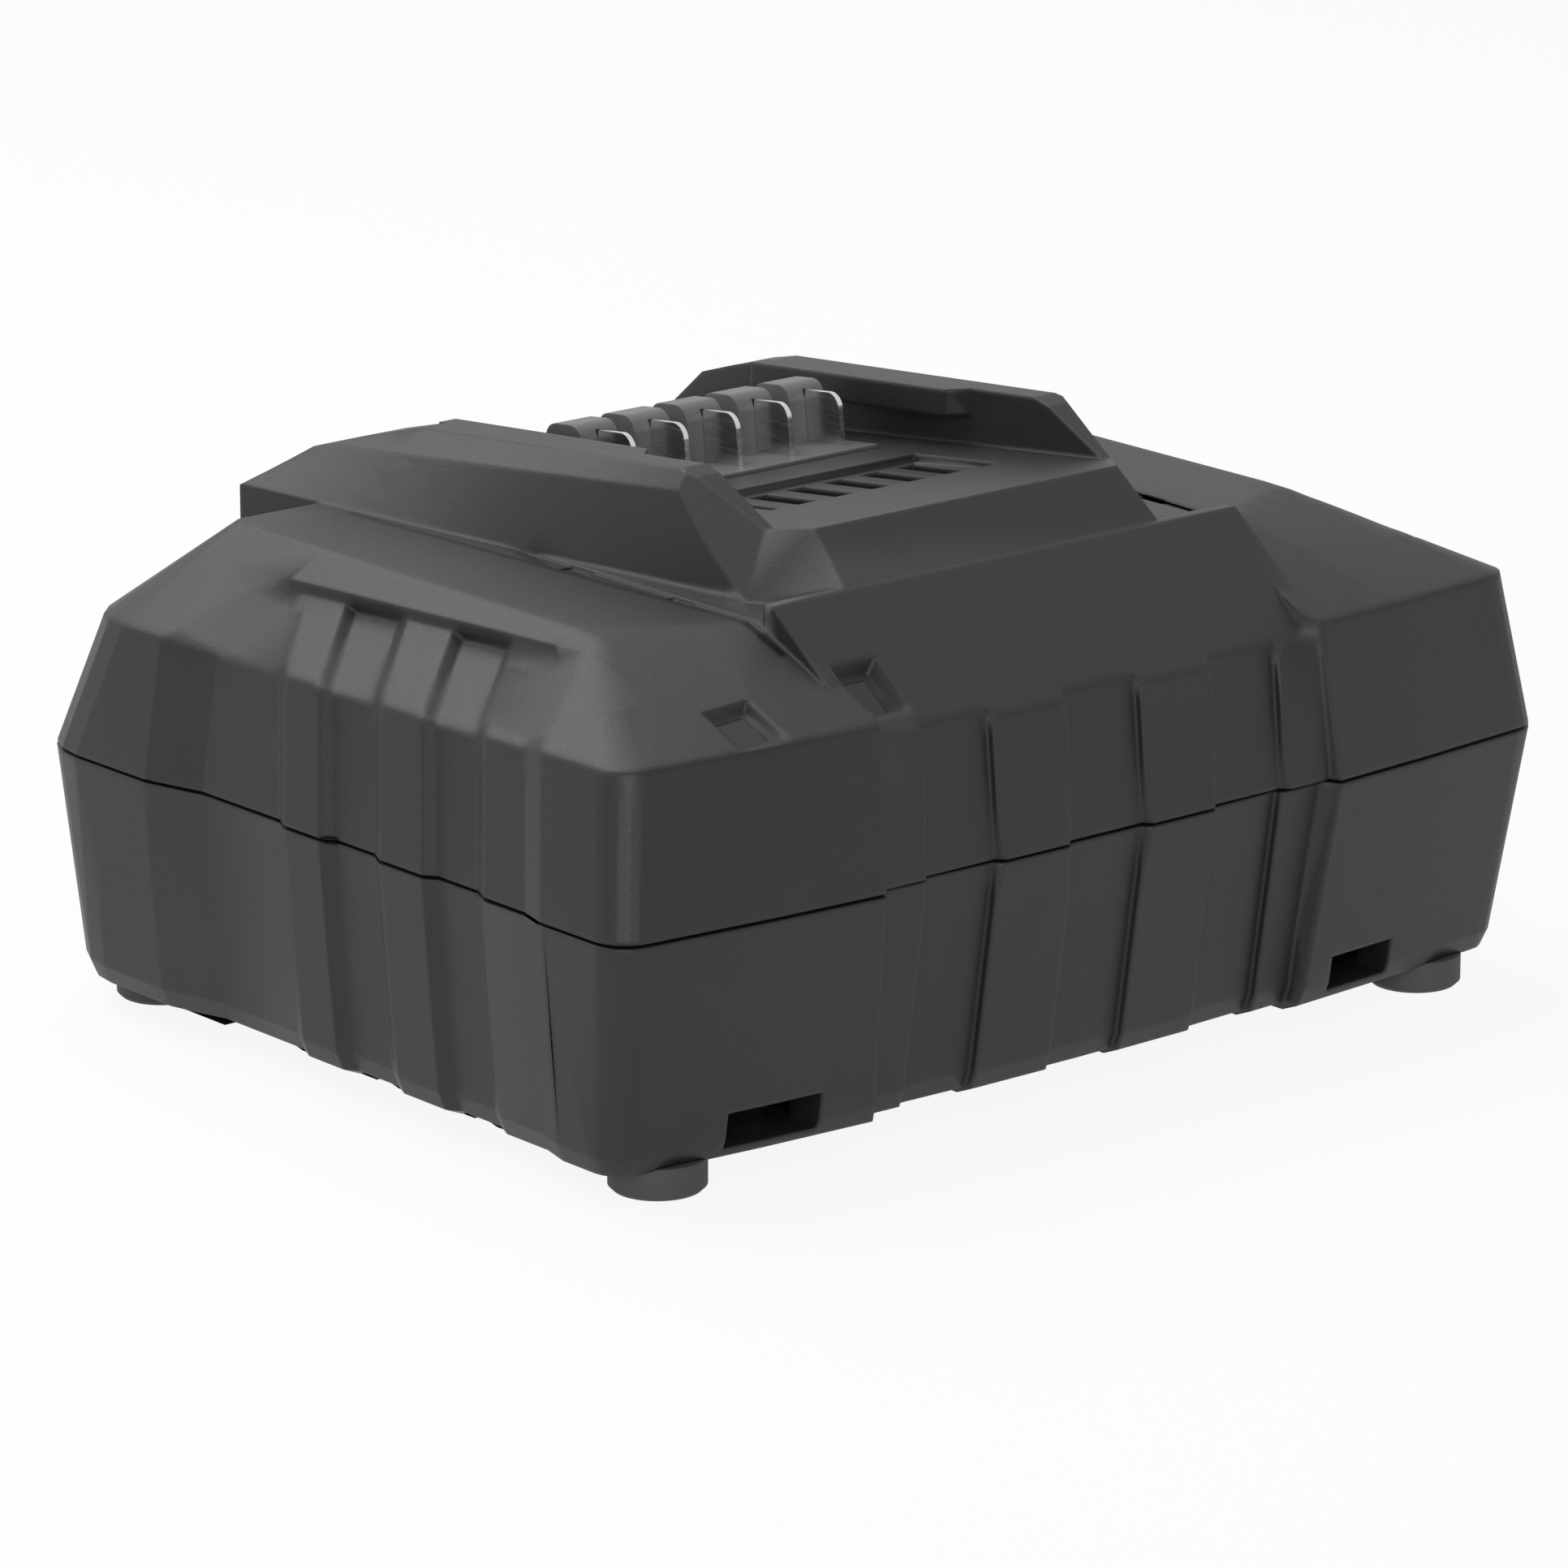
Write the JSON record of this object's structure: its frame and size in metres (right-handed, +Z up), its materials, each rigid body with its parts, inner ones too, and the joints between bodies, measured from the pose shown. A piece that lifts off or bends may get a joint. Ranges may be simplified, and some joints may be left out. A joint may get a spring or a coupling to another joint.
{
  "type": "power tool battery charger",
  "caption": "Free-standing charger for slide-on tool battery packs: ribbed two-part housing, inclined railed deck, upright contact blades, cooling fan and mains inlet.",
  "frame": {"origin": "on the ground under the middle of the four feet", "axes": "+Z up, -Y towards the ribbed front that a pack is slid in from, +X to the right seen from the front"},
  "size_m": [0.1644, 0.134, 0.0826],
  "materials": {
    "screw_steel": "zinc plated",
    "contact_metal": "nickel plated",
    "inner_plastic": "moulded",
    "foot_rubber": "matte",
    "lamp": "translucent",
    "lens": "smoked",
    "clear_plastic": "clear",
    "ferrite": "sintered",
    "housing": "fine moulded texture",
    "board": "solder mask",
    "capacitor_sleeve": "shrink sleeve",
    "fuse_glass": "clear",
    "sink_metal": "extruded",
    "terminal_plastic": "smooth moulded",
    "coil_tape": "polyester tape"
  },
  "bodies": {
    "charger": {"board_screw_1": "screw_steel", "board_screw_2": "screw_steel", "board_screw_3": "screw_steel", "board_screw_4": "screw_steel", "contact_blade_1": "contact_metal", "contact_blade_2": "contact_metal", "contact_blade_3": "contact_metal", "contact_blade_4": "contact_metal", "contact_blade_5": "contact_metal", "fan_frame": "inner_plastic", "foot_1": "foot_rubber", "foot_2": "foot_rubber", "foot_3": "foot_rubber", "foot_4": "foot_rubber", "fuse_clip_1": "contact_metal", "fuse_clip_2": "contact_metal", "housing_screw_1": "screw_steel", "housing_screw_2": "screw_steel", "housing_screw_3": "screw_steel", "housing_screw_4": "screw_steel", "indicator_lamp_left": "lamp", "indicator_lamp_right": "lamp", "indicator_lens_left": "lens", "indicator_lens_right": "lens", "inlet_pin_1": "contact_metal", "inlet_pin_2": "contact_metal", "light_guide_left": "clear_plastic", "light_guide_right": "clear_plastic", "line_choke": "ferrite", "lower_housing": "housing", "main_board": "board", "mains_capacitor": "capacitor_sleeve", "mains_fuse": "fuse_glass", "mains_inlet": "inner_plastic", "output_heat_sink": "sink_metal", "primary_heat_sink": "sink_metal", "terminal_block": "terminal_plastic", "transformer_coil": "coil_tape", "transformer_core": "ferrite", "upper_housing": "housing"},
    "rotor": {"fan_rotor": "inner_plastic"}
  },
  "joints": [
    {"name": "fan_spin", "type": "hinge", "parent": "charger", "child": "rotor", "pos_m": [0, -0.0142, 0.06], "axis": [0, 0, 1], "continuous": true}
  ]
}
